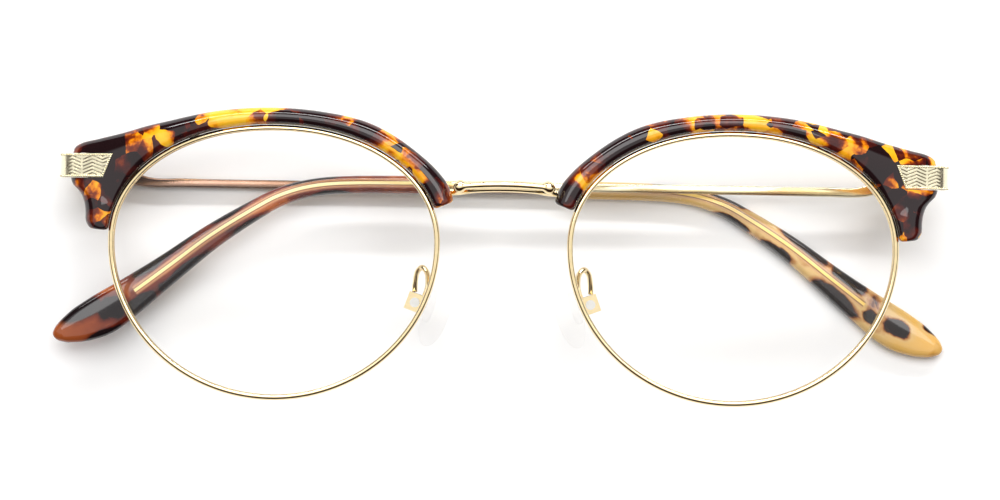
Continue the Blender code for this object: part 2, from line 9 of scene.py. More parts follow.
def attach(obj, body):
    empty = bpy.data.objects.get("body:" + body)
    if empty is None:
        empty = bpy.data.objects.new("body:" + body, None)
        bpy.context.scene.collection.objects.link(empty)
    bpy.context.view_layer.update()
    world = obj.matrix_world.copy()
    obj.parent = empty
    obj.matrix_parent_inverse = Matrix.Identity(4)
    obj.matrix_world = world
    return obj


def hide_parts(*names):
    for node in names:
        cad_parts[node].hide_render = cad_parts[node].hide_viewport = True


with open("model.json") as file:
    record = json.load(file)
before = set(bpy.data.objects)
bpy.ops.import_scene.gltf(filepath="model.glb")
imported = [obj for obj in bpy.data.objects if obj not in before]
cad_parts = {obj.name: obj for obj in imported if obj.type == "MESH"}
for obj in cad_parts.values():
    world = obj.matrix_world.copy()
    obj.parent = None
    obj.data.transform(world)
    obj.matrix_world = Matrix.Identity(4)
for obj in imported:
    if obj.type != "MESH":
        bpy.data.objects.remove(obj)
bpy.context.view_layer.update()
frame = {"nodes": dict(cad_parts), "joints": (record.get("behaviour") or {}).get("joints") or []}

# Sizes are millimetres in the front frame, as in the CAD source: +X towards the
# wearer's left, +Y up the front, +Z out of the front, origin between the lenses.
MM = 0.001

LENS_CENTRE_X = 34.5
LENS_HALF_WIDTH = 24.5
WIDE_LINE_Y = 3.0
UPPER_HEIGHT = 17.0
LOWER_HEIGHT = 23.1
UPPER_POWER = 2.1
LOWER_POWER = 2.0
BASE_CURVE_RADIUS = 110.0
FACE_WRAP = math.tan(math.radians(5.0))

SPLIT_TURN = 16.5
SPLIT_HALF_GAP = 0.03
RIM_STEPS = 240
EYEWIRE_SECTION = (
    (-0.32, -0.14), (-0.27, 0.00), (-0.19, 0.11), (-0.09, 0.18), (0.02, 0.215), (0.10, 0.22),
    (0.18, 0.215), (0.29, 0.18), (0.39, 0.11), (0.47, 0.00), (0.52, -0.14), (0.52, -1.75),
    (0.44, -1.90), (0.30, -2.0), (0.10, -2.05), (-0.10, -2.0),
    (-0.24, -1.92), (-0.30, -1.80), (-0.30, -1.35), (0.15, -0.90), (-0.30, -0.45),
)
LENS_EDGE = ((-0.36, -0.15), (-0.36, -0.51), (0.03, -0.90), (-0.36, -1.29), (-0.36, -1.65))
LENS_RINGS = (0.15, 0.3, 0.45, 0.6, 0.75, 0.9)

BROW_WIDTHS = (
    (163, 3.75), (157, 3.98), (152, 3.85), (140, 3.5), (120, 3.5), (105, 3.15), (90, 3.1),
    (75, 3.3), (57, 4.1), (49.5, 4.95), (40, 6.45), (33, 8.4), (28.5, 10.1), (26.4, 10.5),
    (25, 10.2), (18.3, 8.5), (17, 7.85), (15.75, 6.4), (13.4, 5.3), (10.4, 4.65), (6.4, 4.2),
    (4.9, 3.8),
)
BROW_STATIONS = 170
BROW_ACROSS_STEPS = 22
BROW_INNER = 0.58
BROW_EDGE_RISE = 0.1
BROW_CROWN = 1.5
BROW_BACK = -1.4
BROW_CROWN_POWER = 0.9
BROW_BACK_CORNER = ((0.0, 0.3), (0.09, 0.09), (0.3, 0.0))
BROW_END_ROUNDING = 0.55
END_STEPS = (0.25, 0.5, 0.72, 0.88, 0.97, 1.0)
END_LOOK_BACK = 4
END_TAPER = 0.8
END_SINK = 0.4

HINGE_X = 63.45
HINGE_Y = 14.1
HINGE_Z = -14.0
PANTOSCOPIC_ANGLE = math.radians(5.0)
LEAN_ANGLE = math.radians(1.6)

STRIP_START_HIGH = 58.9
STRIP_START_LOW = 60.4
STRIP_LEVEL_X = 58.0
STRIP_LEVEL_Z = -4.05
STRIP_SLOPE = math.radians(18.3)
STRIP_SIDE_X = 67.35
STRIP_CORNER_RADIUS = 3.0
STRIP_END_Z = -13.85
STRIP_LOW_Y = 12.4
STRIP_HIGH_Y = 15.95
TRIM_THICKNESS = 0.5
TRIM_ACROSS_STEPS = 90
STRIP_LEVEL_STEPS = 150
STRIP_CORNER_STEPS = 40
STRIP_SIDE_STEPS = 20
ENGRAVED_BORDER = 0.38
DIVIDER_AT = 4.7
DIVIDER_WIDTH = 0.3
ENGRAVED_END = 7.0
WAVE_HEIGHT = 0.62
WAVE_LENGTH = 3.2
GROOVE_PITCH = 0.52
GROOVE_DEPTH = 0.05
GROOVE_SHARPNESS = 9
BEAD_RADIUS = 0.17
BEAD_PITCH = 0.36
SLANT_BEADS = 10
BEAD_RINGS = 6
BEAD_SIDES = 8
ENGRAVED_FACING = 0.5
SLOT_DEPTH = 1.75
SLOT_MARGIN = 0.1
SLOT_WEB_END_X = 63.0
SLOT_OPEN_X = 70.0
SLOT_OPEN_Z = (-15.0, 5.0)

SHARP_ANGLE = 40.0
RIM_SHARP_ANGLE = 60.0
TIP_SHARP_ANGLE = 60.0
TRIM_SHARP_ANGLE = 70.0
BEAD_SHARP_ANGLE = 80.0
SOFT_EDGE = 0.08

BRIDGE_Y = 11.5
BRIDGE_ARCH = 0.5
BRIDGE_Z = 0.9
BRIDGE_HALF_DEPTH = 0.8
BRIDGE_MID_HALF_HEIGHT = 0.6
BRIDGE_NECK_HALF_HEIGHT = 0.5
BALL_END = 0.01
BRIDGE_SWELL_POWER = 4
BRIDGE_STATIONS = 96
BRIDGE_SIDES = 32
BALL_AT = 6.6
BALL_RADIUS = 0.98
BRACE_PATH = (
    (-11.6, 10.9, -3.3), (-9.5, 10.8, -3.6), (-7.5, 10.9, -3.45), (-6.3, 10.98, -2.5),
    (-4.8, 11.2, -1.1), (-2.5, 11.35, -0.6), (0.0, 11.4, -0.5),
    (2.5, 11.35, -0.6), (4.8, 11.2, -1.1), (6.3, 10.98, -2.5),
    (7.5, 10.9, -3.45), (9.5, 10.8, -3.6), (11.6, 10.9, -3.3),
)
BRACE_RADIUS = 0.5

SHAFT_SECTIONS = (
    (0.15, 0.0, 3.3, 1.95, 3.9), (3.5, -0.1, 3.2, 1.95, 3.9), (8.0, -1.75, 1.6, 2.05, 3.75),
    (14.0, -1.88, 1.4, 2.15, 3.6), (30.0, -1.88, 1.35, 2.25, 3.45), (72.6, -1.9, 1.35, 2.3, 3.4),
)
SHAFT_CORNER = 0.3
SHAFT_STATIONS = 90
SHAFT_CROWDING = 1.6
CORNER_STEPS = 4
CORE_END = 119.5
CORE_HALF_SIZE = 0.42
CORE_ROOT = 71.5
CORE_CORNER = 0.1
# Tip, as (distance from the hinge, height of centre, height).
TIP_SECTIONS = (
    (73.0, -1.9, 2.75), (86.0, -2.05, 2.7), (92.5, -2.6, 2.7), (97.4, -4.0, 2.85),
    (101.5, -6.2, 3.1), (108.0, -10.4, 3.75), (114.5, -15.4, 4.6), (119.5, -19.2, 5.6),
    (124.0, -22.4, 6.4), (127.5, -24.2, 5.5), (129.7, -25.2, 4.0), (130.9, -25.7, 2.7),
    (131.6, -26.0, 1.4), (131.8, -26.1, 0.6),
)
TIP_INNER = 1.3
TIP_OUTER = 3.9
TIP_END_INNER = 1.9
TIP_END_POWER = 6
TIP_ROUNDNESS = 2.6
TIP_SIDES = 40
TIP_STEPS = 12
TIP_FLAT_SHARE = 0.35
TIP_FULL_HEIGHT = 5.0
# Dark spots in each tip, partly dark tortoise markings and partly painted dark reflections, as
# (distance from the hinge, height, half length, half height).
TIP_MARKINGS_AND_REFLECTIONS = {
    "left": (
        (113.4, -2.0, 5.4, 1.5), (119.5, -1.9, 3.0, 1.7), (123.0, 0.1, 2.6, 2.9),
        (126.6, 1.9, 4.6, 1.9), (125.6, -3.0, 3.4, 1.2), (114.0, 2.0, 5.6, 1.2),
        (102.5, -1.6, 3.4, 1.0), (104.0, 1.6, 4.0, 0.8), (93.0, 1.4, 5.0, 0.8),
        (90.0, -1.5, 4.0, 0.9),
    ),
    "right": (
        (116.3, 1.8, 3.0, 1.9), (109.0, 1.6, 4.4, 1.2), (116.4, -2.0, 4.8, 2.0),
        (107.0, -1.6, 3.2, 1.2), (125.0, 0.2, 2.7, 2.0), (128.9, 2.4, 2.4, 1.1),
        (120.9, -1.0, 1.4, 1.0), (97.5, 1.4, 4.6, 0.9), (99.5, -1.5, 3.6, 0.8),
        (89.0, 1.2, 3.4, 0.9),
    ),
}
# How much darker a spot's middle is, for tortoise markings and painted dark reflections alike, and
# how soon a spot hides the painted glow at the end.
MARKING_AND_REFLECTION_DARKNESS = 0.6
MARKING_AND_REFLECTION_OVER_GLOW = 3.0

PAD_ARM_PATH = (
    (11.6, -4.6, -2.75), (11.25, -3.2, -4.3), (11.4, -1.4, -5.8), (12.2, -0.5, -6.7),
    (13.0, -1.3, -7.6), (13.3, -2.9, -8.6), (13.35, -4.15, -9.0),
)
PAD_ARM_RADIUS = 0.42
PAD_SCREW_AT = (13.3, -5.8, -9.0)
PAD_LENGTH_AXIS = Vector((0.32, -0.93, -0.18))
PAD_FACE_AXIS = Vector((-0.88, -0.25, -0.40))
PAD_HALF_LENGTH = 6.2
PAD_HALF_WIDTH = 3.4
PAD_BACK_REACH = 2.75
PAD_SIDES = 48
PAD_WIDER_BELOW = 0.18
# Pad, as (distance from its back, share of the full outline).
PAD_LEVELS = (
    (0.0, 0.6), (0.03, 0.78), (0.15, 0.88), (0.4, 0.955), (0.7, 0.99), (1.0, 1.0), (1.35, 0.985),
    (1.7, 0.93), (2.05, 0.83), (2.3, 0.7), (2.5, 0.52), (2.58, 0.35), (2.6, 0.15),
)

# Picture: the camera looks square at the front, a little turned.
CAMERA_AT = (-0.507, 2.31, 400.0)
CAMERA_ROLL = math.radians(0.85)
CAMERA_FOCAL = 96.95
SENSOR_WIDTH = 36.0
CAMERA_CLIP_START = 0.01

# Plating: fine grain in colour and roughness, and painted reflections in long streaks down the
# shafts.
GRAIN_SCALE = 900.0
GRAIN_DETAIL = 4.0
GRAIN_SPAN = (0.3, 0.7)
GRAIN_DARKER = 0.92
REFLECTION_STREAK_STRETCH = (0.12, 1.0, 1.0)
REFLECTION_STREAK_SCALE = 420.0
STREAK_ROUGHNESS = 0.2
# Colour and roughness of each plating.
PALE_GOLD = ((0.96, 0.78, 0.46), 0.1)
TRIM_GOLD = ((0.98, 0.91, 0.66), 0.28)
BEAD_GOLD = ((0.96, 0.87, 0.60), 0.15)
SCREW_STEEL = ((0.80, 0.78, 0.74), 0.2)
# Painted shade in the engraved grooves of the trim.
GROOVE_SHADE_BROWN = (0.36, 0.27, 0.15)

# Acetate: pattern scale, share of the crisp chips and how far its edges are bent, in metres.
BROW_PATTERN = (175.0, 0.34, 0.0012)
TIP_PATTERN = (115.0, 0.05, 0.002)
PATTERN_DETAIL = 2.0
BEND_FINER = 1.8
CLOUD_TWIST = 0.3
CHIP_FINER = 2.2
FINE_FINER = 9
FINE_DETAIL = 3.0
FINE_SHARE = 0.12
ACETATE_ROUGHNESS = 0.06
TIP_ROUGHNESS = 0.08
ACETATE_IOR = 1.5

# Clear pieces, as (tint, roughness, alpha), and the plain table.
CLEAR_LENS = ((0.97, 0.985, 0.98), 0.02, 0.012)
CLEAR_SILICONE = ((0.96, 0.96, 0.95), 0.3, 0.06)
PLAIN_ROUGHNESS = 0.9

# Sockets of Blender's Mix node when it mixes colours.
MIX_FIRST = 6
MIX_SECOND = 7
MIX_RESULT = 2

# Where the core wire shows through a tip, above its middle line.
CORE_SHOWS_AT = 0.15
# Bands beside the core wire, as (distance from it, strength): warm halo, dark edge, bright line.
BAND_PROFILES = (
    ((0.0, 0.9), (0.5, 0.75), (0.8, 0.0)),
    ((0.20, 0.0), (0.28, 0.9), (0.34, 0.9), (0.42, 0.0)),
    ((0.0, 1.0), (0.20, 1.0), (0.28, 0.0)),
)
# Painted glow at the end of a tip: lighter colour, as if lit through its thin acetate.
GLOW_START = 123.0
GLOW_LENGTH = 9.0
GLOW_PROFILE = ((0.0, (0.0, 0.0, 0.0)), (1.0, (0.8, 0.8, 0.8)))
BROWN_BAND = ((0.66, 0.32, 0.15), (0.10, 0.04, 0.02), (0.96, 0.76, 0.34))
HONEY_BAND = ((0.58, 0.32, 0.16), (0.14, 0.06, 0.03), (0.95, 0.66, 0.18))
BROWN_GLOW = (0.40, 0.10, 0.025)
HONEY_GLOW = (0.78, 0.42, 0.09)
# Where in its pattern each piece starts, in metres.
SEEDS = {
    "shaft_left": (0.2, 0.4, 0.1), "shaft_right": (0.7, 0.1, 0.3),
    "brow_left": (0.31, 0.17, 0.07), "brow_right": (0.11, 0.57, 0.23),
    "tip_left": (0.41, 0.3, 0.2), "tip_right": (0.2, 0.9, 0.6),
}

# Stage, in metres: the studio is white overhead and dark towards the horizon.
TABLE_HALF_SIZE = 3.0
STUDIO_TONES = ((0.32, (0.035, 0.02, 0.015)), (0.42, (1.05, 1.05, 1.05)))
DARK_TOWARDS_BROWS = 0.6
DARK_TOWARDS_CHIN = 1.0
BACKDROP = (1.05, 1.05, 1.05)
TABLE_WHITE = (0.9, 0.9, 0.9)
# Lights, as (name, place, size, watts); each one faces the origin.
LIGHTS = (
    ("key_box", (0.0, 0.32, 0.8), (0.9, 0.5), 5.0),
    ("brow_strip", (0.0, 0.75, 0.45), (1.3, 0.07), 6.0),
)


# ---------- shapes ----------

def front_turn():
    """How the front leans on the folded temples."""
    return Matrix.Rotation(-LEAN_ANGLE, 4, "Y") @ Matrix.Rotation(PANTOSCOPIC_ANGLE, 4, "X")


def rest_matrix():
    """Front frame in millimetres to the row frame in metres."""
    hinge = next(j for j in frame["joints"] if j["name"] == "right_temple_hinge")
    back = Matrix.Translation(Vector((HINGE_X, -HINGE_Y, -HINGE_Z)))
    return Matrix.Translation(hinge["pos_m"]) @ Matrix.Scale(MM, 4) @ front_turn() @ back


def hinge_matrix(name):
    """Hinge frame in millimetres to the row frame in metres."""
    hinge = next(j for j in frame["joints"] if j["name"] == f"{name}_temple_hinge")
    return Matrix.Translation(hinge["pos_m"]) @ Matrix.Scale(MM, 4)


def loft(rings, closed=False, caps=True):
    """Skin through rings of equal length, with end caps unless the rings close on themselves."""
    size = len(rings[0])
    points = [tuple(point) for ring in rings for point in ring]
    faces = []
    for i in range(len(rings) if closed else len(rings) - 1):
        a = i * size
        b = (i + 1) % len(rings) * size
        for j in range(size):
            k = (j + 1) % size
            faces.append((a + j, a + k, b + k, b + j))
    if caps and not closed:
        faces.append(tuple(range(size)))
        faces.append(tuple(range(len(points) - size, len(points))))
    return points, faces


def merge(shapes):
    """Several shapes as one."""
    points = []
    faces = []
    for more_points, more_faces in shapes:
        start = len(points)
        points += more_points
        faces += [tuple(start + i for i in face) for face in more_faces]
    return points, faces


def add_mesh(name, shape, matrix, side, material, sharp=SHARP_ANGLE, values=None):
    """Mesh object in the row frame, mirrored in X for side -1, with its faces turned outwards."""
    points, faces = shape
    mesh = bpy.data.meshes.new(name)
    placed = [matrix @ Vector((side * x, y, z)) for x, y, z in points]
    mesh.from_pydata(placed, [], faces)
    for value_name, numbers in (values or {}).items():
        mesh.attributes.new(value_name, "FLOAT", "POINT").data.foreach_set("value", numbers)
    work = bmesh.new()
    work.from_mesh(mesh)
    bmesh.ops.recalc_face_normals(work, faces=work.faces)
    work.to_mesh(mesh)
    work.free()
    mesh.materials.append(material)
    mesh.shade_smooth()
    mesh.set_sharp_from_angle(angle=math.radians(sharp))
    obj = bpy.data.objects.new(name, mesh)
    bpy.context.scene.collection.objects.link(obj)
    return obj


def catmull(before, start, end, after, t):
    """Point at t between start and end on the smooth curve through four points."""
    return 0.5 * (
        2 * start + (end - before) * t + (2 * before - 5 * start + 4 * end - after) * t * t
        + (3 * start - before - 3 * end + after) * t ** 3
    )


def curve_points(path, steps):
    """Smooth curve through a path, with a number of steps from each point to the next."""
    path = [Vector(point) for point in path]
    padded = [2 * path[0] - path[1], *path, 2 * path[-1] - path[-2]]
    points = []
    for a, b, c, d in zip(padded, padded[1:], padded[2:], padded[3:]):
        points += [catmull(a, b, c, d, i / steps) for i in range(steps)]
    points.append(path[-1])
    return points


def value_at(knots, at):
    """Smooth value between (position, value) knots."""
    rising = sorted(knots)
    xs = [x for x, _ in rising]
    vs = [v for _, v in rising]
    for i in range(len(xs) - 1):
        if at <= xs[i + 1] or i == len(xs) - 2:
            span = xs[i + 1] - xs[i]
            t = min(1.0, max(0.0, (at - xs[i]) / span))
            before = vs[i]
            after = vs[i + 1]
            if i > 0:
                before -= (vs[i] - vs[i - 1]) * span / (xs[i] - xs[i - 1])
            if i + 2 < len(xs):
                after += (vs[i + 2] - vs[i + 1]) * span / (xs[i + 2] - xs[i + 1])
            return catmull(before, vs[i], vs[i + 1], after, t)


def rod(path, radius, sides=20, steps=8):
    """Round bar bent along a path."""
    points = curve_points(path, steps)
    across = Vector((0, 0, 1))
    rings = []
    for i, point in enumerate(points):
        along = (points[min(i + 1, len(points) - 1)] - points[max(i - 1, 0)]).normalized()
        across = (across - along * across.dot(along)).normalized()
        other = along.cross(across)
        turns = [2 * math.pi * j / sides for j in range(sides)]
        rings.append([point + (across * math.cos(t) + other * math.sin(t)) * radius for t in turns])
    return loft(rings)


def front_depth(x, y):
    """Z of the curved, wrapped surface that the front follows."""
    out = abs(x) - LENS_CENTRE_X
    return -(out * out + y * y) / (2 * BASE_CURVE_RADIUS) - FACE_WRAP * out


def rim_point(degrees, offset, depth):
    """Point beside the lens outline: offset outwards, depth from the front surface."""
    cosine = math.cos(math.radians(degrees))
    sine = math.sin(math.radians(degrees))
    height = UPPER_HEIGHT if sine >= 0 else LOWER_HEIGHT
    power = UPPER_POWER if sine >= 0 else LOWER_POWER
    across = math.copysign(abs(cosine) ** (2 / power), cosine)
    up = math.copysign(abs(sine) ** (2 / power), sine)
    normal = Vector((
        math.copysign(abs(across) ** (power - 1) / LENS_HALF_WIDTH, across),
        math.copysign(abs(up) ** (power - 1) / height, up),
    )).normalized()
    x = LENS_CENTRE_X + LENS_HALF_WIDTH * across + offset * normal.x
    y = WIDE_LINE_Y + height * up + offset * normal.y
    return x, y, front_depth(x, y) + depth


def rim_turns():
    """Angles round a lens, from one side of the rim's split to the other."""
    first = SPLIT_TURN + SPLIT_HALF_GAP
    sweep = 360.0 - 2 * SPLIT_HALF_GAP
    return [first + sweep * i / RIM_STEPS for i in range(RIM_STEPS + 1)]


def eyewire_shape():
    """Rounded wire with a lens groove, open at its split."""
    return loft([
        [rim_point(turn, offset, depth) for offset, depth in EYEWIRE_SECTION]
        for turn in rim_turns()
    ])


def lens_shape():
    """Curved lens whose bevelled edge sits in the rim's groove."""
    turns = rim_turns()
    centre = Vector((LENS_CENTRE_X, 0.0))
    front = LENS_EDGE[0][1]
    back = LENS_EDGE[-1][1]

    def inner_ring(share, depth):
        ring = []
        for turn in turns:
            x, y, _ = rim_point(turn, LENS_EDGE[0][0], 0.0)
            at = centre + (Vector((x, y)) - centre) * share
            ring.append((at.x, at.y, front_depth(at.x, at.y) + depth))
        return ring

    rings = [inner_ring(share, front) for share in LENS_RINGS]
    rings += [[rim_point(turn, offset, depth) for turn in turns] for offset, depth in LENS_EDGE]
    rings += [inner_ring(share, back) for share in reversed(LENS_RINGS)]
    points, faces = loft(rings, caps=False)
    size = len(turns)
    for start, depth in ((0, front), (len(points) - size, back)):
        points.append((centre.x, centre.y, front_depth(centre.x, centre.y) + depth))
        middle = len(points) - 1
        faces += [(start + i, start + (i + 1) % size, middle) for i in range(size)]
    return points, faces


def ring_middle(ring):
    """Mean point of a ring."""
    return sum((Vector(point) for point in ring), Vector()) / len(ring)


def rounded_ends(rings, radius):
    """Pulls the end rings in over a quarter circle, so that the loft ends in a rounded edge."""
    start = []
    end = []
    for ring, inner, added in (
        (rings[0], rings[END_LOOK_BACK], start),
        (rings[-1], rings[-1 - END_LOOK_BACK], end),
    ):
        points = [Vector(point) for point in ring]
        middle = ring_middle(points)
        along = (middle - ring_middle(inner)).normalized()
        half = min((point - middle).length for point in points)
        for step in END_STEPS:
            reach = radius * math.sin(step * math.pi / 2) - radius * END_SINK
            shrink = 1 - radius * (1 - math.cos(step * math.pi / 2)) / half * END_TAPER
            added.append([middle + (point - middle) * shrink + along * reach for point in points])
    return start[::-1] + rings[1:-1] + end


def brow_shape():
    """Arched brow round the upper rim, with its lug towards the hinge."""
    rings = []
    first = BROW_WIDTHS[0][0]
    last = BROW_WIDTHS[-1][0]
    for i in range(BROW_STATIONS + 1):
        turn = first + (last - first) * i / BROW_STATIONS
        width = value_at(BROW_WIDTHS, turn)
        front = []
        for j in range(BROW_ACROSS_STEPS + 1):
            angle = math.pi * j / BROW_ACROSS_STEPS
            share = (1 - math.cos(angle)) / 2
            rise = BROW_CROWN * math.sin(angle) ** BROW_CROWN_POWER
            offset = BROW_INNER + (width - BROW_INNER) * share
            front.append(rim_point(turn, offset, BROW_EDGE_RISE + rise))
        outer = [rim_point(turn, width - inset, BROW_BACK + rise) for inset, rise in BROW_BACK_CORNER]
        inner = [
            rim_point(turn, BROW_INNER + inset, BROW_BACK + rise)
            for inset, rise in reversed(BROW_BACK_CORNER)
        ]
        rings.append(front + outer + inner)
    return loft(rounded_ends(rings, BROW_END_ROUNDING))


def strip_level(x):
    """Z of the sloping part of the endpiece's outer face."""
    return STRIP_LEVEL_Z - (x - STRIP_LEVEL_X) * math.tan(STRIP_SLOPE)


def slot_shape():
    """Slot in the brow that the endpiece lies in."""
    rings = []
    for y, start in (
        (STRIP_LOW_Y - SLOT_MARGIN, STRIP_START_LOW - SLOT_MARGIN),
        (STRIP_HIGH_Y + SLOT_MARGIN, STRIP_START_HIGH - SLOT_MARGIN),
    ):
        floor = [(x, strip_level(x) - SLOT_DEPTH) for x in (start, SLOT_WEB_END_X)]
        low, high = SLOT_OPEN_Z
        opening = [(SLOT_WEB_END_X, low), (SLOT_OPEN_X, low), (SLOT_OPEN_X, high), (start, high)]
        rings.append([(x, y, z) for x, z in floor + opening])
    return loft(rings)


def strip_frames(start, inset):
    """Points and outward normals along the strip, from its slanted edge round to its end."""
    side = STRIP_SIDE_X - inset
    radius = STRIP_CORNER_RADIUS - inset
    drop = inset / math.cos(STRIP_SLOPE)
    centre_x = side - radius
    centre_z = strip_level(centre_x) - drop - radius / math.cos(STRIP_SLOPE)
    lean = (math.sin(STRIP_SLOPE), math.cos(STRIP_SLOPE))
    found = []
    corner = centre_x + radius * lean[0]
    for i in range(STRIP_LEVEL_STEPS):
        x = start + (corner - start) * i / STRIP_LEVEL_STEPS
        found.append(((x, strip_level(x) - drop), lean))
    sweep = math.pi / 2 - STRIP_SLOPE
    for i in range(STRIP_CORNER_STEPS):
        turn = sweep * (1 - i / STRIP_CORNER_STEPS)
        normal = (math.cos(turn), math.sin(turn))
        found.append(((centre_x + radius * normal[0], centre_z + radius * normal[1]), normal))
    for i in range(STRIP_SIDE_STEPS + 1):
        z = centre_z + (STRIP_END_Z - centre_z) * i / STRIP_SIDE_STEPS
        found.append(((side, z), (1.0, 0.0)))
    return found


def groove_depth(distance, y):
    """How deep the engraving is at a place on the trim, from 0 on the plain face to 1."""
    inside = min(y - STRIP_LOW_Y, STRIP_HIGH_Y - y) - ENGRAVED_BORDER
    slant = (STRIP_START_LOW - STRIP_START_HIGH) * (STRIP_HIGH_Y - y) / (STRIP_HIGH_Y - STRIP_LOW_Y)
    fields = ((slant + ENGRAVED_BORDER, DIVIDER_AT), (DIVIDER_AT + DIVIDER_WIDTH, ENGRAVED_END))
    if inside < 0 or not any(start < distance < end for start, end in fields):
        return 0.0
    wave = WAVE_HEIGHT * abs((distance / WAVE_LENGTH) % 1 * 2 - 1)
    phase = (y - STRIP_LOW_Y - wave) / GROOVE_PITCH
    return (0.5 + 0.5 * math.cos(2 * math.pi * phase)) ** GROOVE_SHARPNESS


def trim_shape():
    """Engraved outer strip of the endpiece, with the groove depth at each point."""
    columns = []
    for j in range(TRIM_ACROSS_STEPS + 1):
        share = j / TRIM_ACROSS_STEPS
        y = STRIP_LOW_Y + (STRIP_HIGH_Y - STRIP_LOW_Y) * share
        start = STRIP_START_LOW + (STRIP_START_HIGH - STRIP_START_LOW) * share
        columns.append((y, strip_frames(start, 0.0), strip_frames(start, TRIM_THICKNESS)))
    rings = []
    grooves = []
    for i in range(len(columns[0][1])):
        ring = []
        for y, outer, _ in columns:
            (x, z), (nx, nz) = outer[i]
            groove = groove_depth(x - STRIP_START_HIGH, y) if nz > ENGRAVED_FACING else 0.0
            height = -GROOVE_DEPTH * groove
            ring.append((x + nx * height, y, z + nz * height))
            grooves.append(groove)
        for y, _, inner in (columns[-1], columns[0]):
            (x, z), _ = inner[i]
            ring.append((x, y, z))
            grooves.append(0.0)
        rings.append(ring)
    return loft(rings), {"groove": grooves}


def bead(centre, radius):
    """Small ball."""
    rings = []
    centre = Vector(centre)
    for i in range(1, BEAD_RINGS):
        tilt = math.pi * i / BEAD_RINGS
        ring = []
        for j in range(BEAD_SIDES):
            turn = 2 * math.pi * j / BEAD_SIDES
            level = Vector((math.cos(turn), math.sin(turn), 0.0)) * math.sin(tilt)
            ring.append(centre + (level + Vector((0, 0, math.cos(tilt)))) * radius)
        rings.append(ring)
    return loft(rings)


def beads_shape():
    """Beaded edges of the trim: above, below and down the slanted edge."""
    beads = []
    low = STRIP_LOW_Y + BEAD_RADIUS
    high = STRIP_HIGH_Y - BEAD_RADIUS
    for y, start in ((low, STRIP_START_LOW), (high, STRIP_START_HIGH)):
        travelled = 0.0
        last = None
        for (x, z), _ in strip_frames(start + BEAD_RADIUS, 0.0):
            travelled += math.hypot(x - last[0], z - last[1]) if last else BEAD_PITCH
            last = (x, z)
            if travelled >= BEAD_PITCH:
                beads.append(bead((x, y, z), BEAD_RADIUS))
                travelled = 0.0
    for i in range(1, SLANT_BEADS):
        share = i / SLANT_BEADS
        x = STRIP_START_LOW + (STRIP_START_HIGH - STRIP_START_LOW) * share + BEAD_RADIUS
        beads.append(bead((x, low + (high - low) * share, strip_level(x)), BEAD_RADIUS))
    return merge(beads)


def bridge_shape():
    """Raised bar, arched a little, with a ball at each end."""
    rings = []
    length = BALL_AT + BALL_RADIUS
    for i in range(BRIDGE_STATIONS + 1):
        x = -length * math.cos(math.pi * i / BRIDGE_STATIONS)
        from_ball = (abs(x) - BALL_AT) / BALL_RADIUS
        ball = BALL_RADIUS * math.sqrt(max(0.0, 1 - from_ball * from_ball))
        swell = (x / BALL_AT) ** BRIDGE_SWELL_POWER
        bar = BRIDGE_MID_HALF_HEIGHT + (BRIDGE_NECK_HALF_HEIGHT - BRIDGE_MID_HALF_HEIGHT) * swell
        on_bar = abs(x) < BALL_AT
        half_height = max(ball, bar if on_bar else BALL_END)
        half_depth = max(ball, BRIDGE_HALF_DEPTH if on_bar else BALL_END)
        y = BRIDGE_Y + BRIDGE_ARCH * (1 - (x / length) ** 2)
        ring = []
        for j in range(BRIDGE_SIDES):
            turn = 2 * math.pi * j / BRIDGE_SIDES
            ring.append((x, y + half_height * math.cos(turn), BRIDGE_Z + half_depth * math.sin(turn)))
        rings.append(ring)
    return loft(rings)


def rounded_box_ring(centre, up, out, half_height, half_depth, corner):
    """Rectangle with rounded corners."""
    ring = []
    for a, b, start in ((1, 1, 0.0), (-1, 1, 0.5), (-1, -1, 1.0), (1, -1, 1.5)):
        bend = centre + up * a * (half_height - corner) + out * b * (half_depth - corner)
        for i in range(CORNER_STEPS + 1):
            turn = math.pi * (start + i / CORNER_STEPS / 2)
            ring.append(bend + up * math.cos(turn) * corner + out * math.sin(turn) * corner)
    return ring


def shaft_shape():
    """Flat metal shaft of a temple, from the hinge to the tip."""
    up = Vector((0, 1, 0))
    out = Vector((0, 0, 1))
    tracks = [[(row[0], row[k]) for row in SHAFT_SECTIONS] for k in range(1, 5)]
    first = SHAFT_SECTIONS[0][0]
    last = SHAFT_SECTIONS[-1][0]
    rings = []
    for i in range(SHAFT_STATIONS + 1):
        reach = first + (last - first) * (i / SHAFT_STATIONS) ** SHAFT_CROWDING
        rise, height, inner, outer = (value_at(track, reach) for track in tracks)
        centre = Vector((-reach, rise, -(inner + outer) / 2))
        rings.append(rounded_box_ring(centre, up, out, height / 2, (outer - inner) / 2, SHAFT_CORNER))
    return loft(rings)


def tip_stations():
    """(centre, height, upward direction) along the tip; the curve carries the height in Z."""
    path = curve_points([(-reach, rise, height) for reach, rise, height in TIP_SECTIONS], TIP_STEPS)
    stations = []
    for i, point in enumerate(path):
        step = path[min(i + 1, len(path) - 1)] - path[max(i - 1, 0)]
        up = Vector((step.y, -step.x, 0.0)).normalized()
        stations.append((Vector((point.x, point.y, 0.0)), point.z, up))
    return stations


def core_shape():
    """Square core wire inside the tip."""
    middle = Vector((0, 0, -(TIP_INNER + TIP_OUTER) / 2))
    out = Vector((0, 0, 1))
    half = CORE_HALF_SIZE
    rings = [
        rounded_box_ring(point + middle, up, out, half, half, CORE_CORNER)
        for point, _, up in tip_stations() if point.x >= -CORE_END
    ]
    start = [Vector((-CORE_ROOT, corner.y, corner.z)) for corner in rings[0]]
    return loft([start, *rings])


def marking_and_reflection_strength(reach, above, markings_and_reflections):
    """How far inside the nearest dark spot, tortoise marking and painted dark reflection alike, a
    point lies: 0 outside, 1 at its middle.
    """
    nearest = min(
        math.hypot((reach - x) / half_length, (above - y) / half_height)
        for x, y, half_length, half_height in markings_and_reflections
    )
    return max(0.0, 1.0 - nearest)


